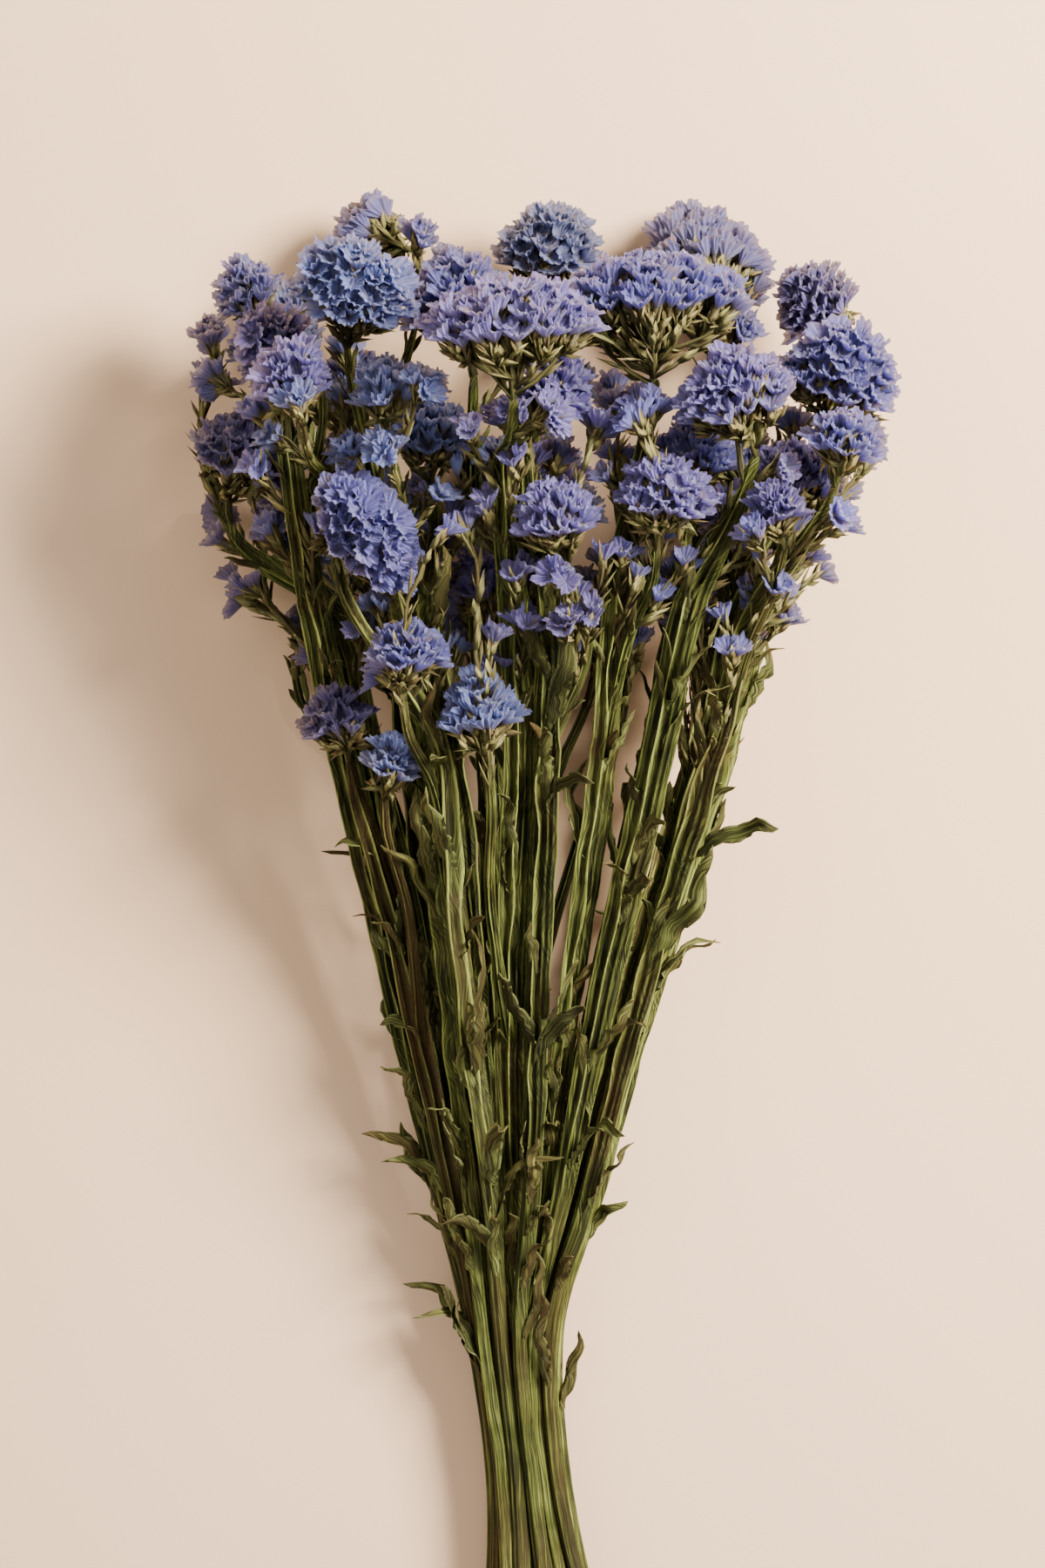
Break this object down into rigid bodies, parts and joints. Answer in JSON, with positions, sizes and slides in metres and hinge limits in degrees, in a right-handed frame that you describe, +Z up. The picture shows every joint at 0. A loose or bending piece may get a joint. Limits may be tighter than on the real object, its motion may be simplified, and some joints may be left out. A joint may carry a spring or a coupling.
{
  "type": "dried flower bunch",
  "caption": "Bunch of dried statice lying flat: slim winged olive stems gathered in a tight waist, fanning out and forking to dense combs of papery blue calyces",
  "frame": {"origin": "centre of the bunch's outline from above, on the surface that it lies on", "axes": "+Y along the stems from the cut ends to the flower heads, +X across the bunch, +Z up from the surface"},
  "size_m": [0.2998, 0.6174, 0.1596],
  "materials": {
    "stem_green": "dry, matt, ribbed plant stem, olive green",
    "calyx_mid": "dry papery calyx, violet blue",
    "calyx_pale": "dry papery calyx, pale sky blue",
    "calyx_lilac": "dry papery calyx, pale lilac",
    "calyx_deep": "dry papery calyx, deep violet"
  },
  "bodies": {
    "root": {"flower_head_01_a": "calyx_mid", "flower_head_01_b": "calyx_deep", "flower_head_02_a": "calyx_deep", "flower_head_02_b": "calyx_mid", "flower_head_03_a": "calyx_pale", "flower_head_03_b": "calyx_deep", "flower_head_04_a": "calyx_mid", "flower_head_04_b": "calyx_mid", "flower_head_05_a": "calyx_pale", "flower_head_05_b": "calyx_pale", "flower_head_05_c": "calyx_lilac", "flower_head_06_a": "calyx_mid", "flower_head_06_b": "calyx_mid", "flower_head_07_a": "calyx_pale", "flower_head_07_b": "calyx_deep", "flower_head_08_a": "calyx_deep", "flower_head_08_b": "calyx_pale", "flower_head_09_a": "calyx_mid", "flower_head_10_a": "calyx_lilac", "flower_head_10_b": "calyx_pale", "flower_head_11_a": "calyx_pale", "flower_head_11_b": "calyx_deep", "flower_head_12_a": "calyx_deep", "flower_head_12_b": "calyx_mid", "flower_head_13_a": "calyx_deep", "flower_head_13_b": "calyx_lilac", "flower_head_14_a": "calyx_mid", "flower_head_14_b": "calyx_lilac", "flower_head_15_a": "calyx_mid", "flower_head_16_a": "calyx_lilac", "flower_head_16_b": "calyx_mid", "flower_head_17_a": "calyx_deep", "flower_head_17_b": "calyx_deep", "flower_head_18_a": "calyx_mid", "flower_head_18_b": "calyx_deep", "flower_head_19_a": "calyx_mid", "flower_head_19_b": "calyx_pale", "flower_head_20_a": "calyx_mid", "flower_head_20_b": "calyx_deep", "leafy_stem_01": "stem_green", "leafy_stem_02": "stem_green", "leafy_stem_03": "stem_green", "leafy_stem_04": "stem_green", "leafy_stem_05": "stem_green", "leafy_stem_06": "stem_green", "leafy_stem_07": "stem_green", "leafy_stem_08": "stem_green", "leafy_stem_09": "stem_green", "leafy_stem_10": "stem_green", "leafy_stem_11": "stem_green", "leafy_stem_12": "stem_green", "leafy_stem_13": "stem_green", "leafy_stem_14": "stem_green", "leafy_stem_15": "stem_green", "leafy_stem_16": "stem_green", "leafy_stem_17": "stem_green", "leafy_stem_18": "stem_green", "leafy_stem_19": "stem_green", "leafy_stem_20": "stem_green"}
  },
  "joints": []
}
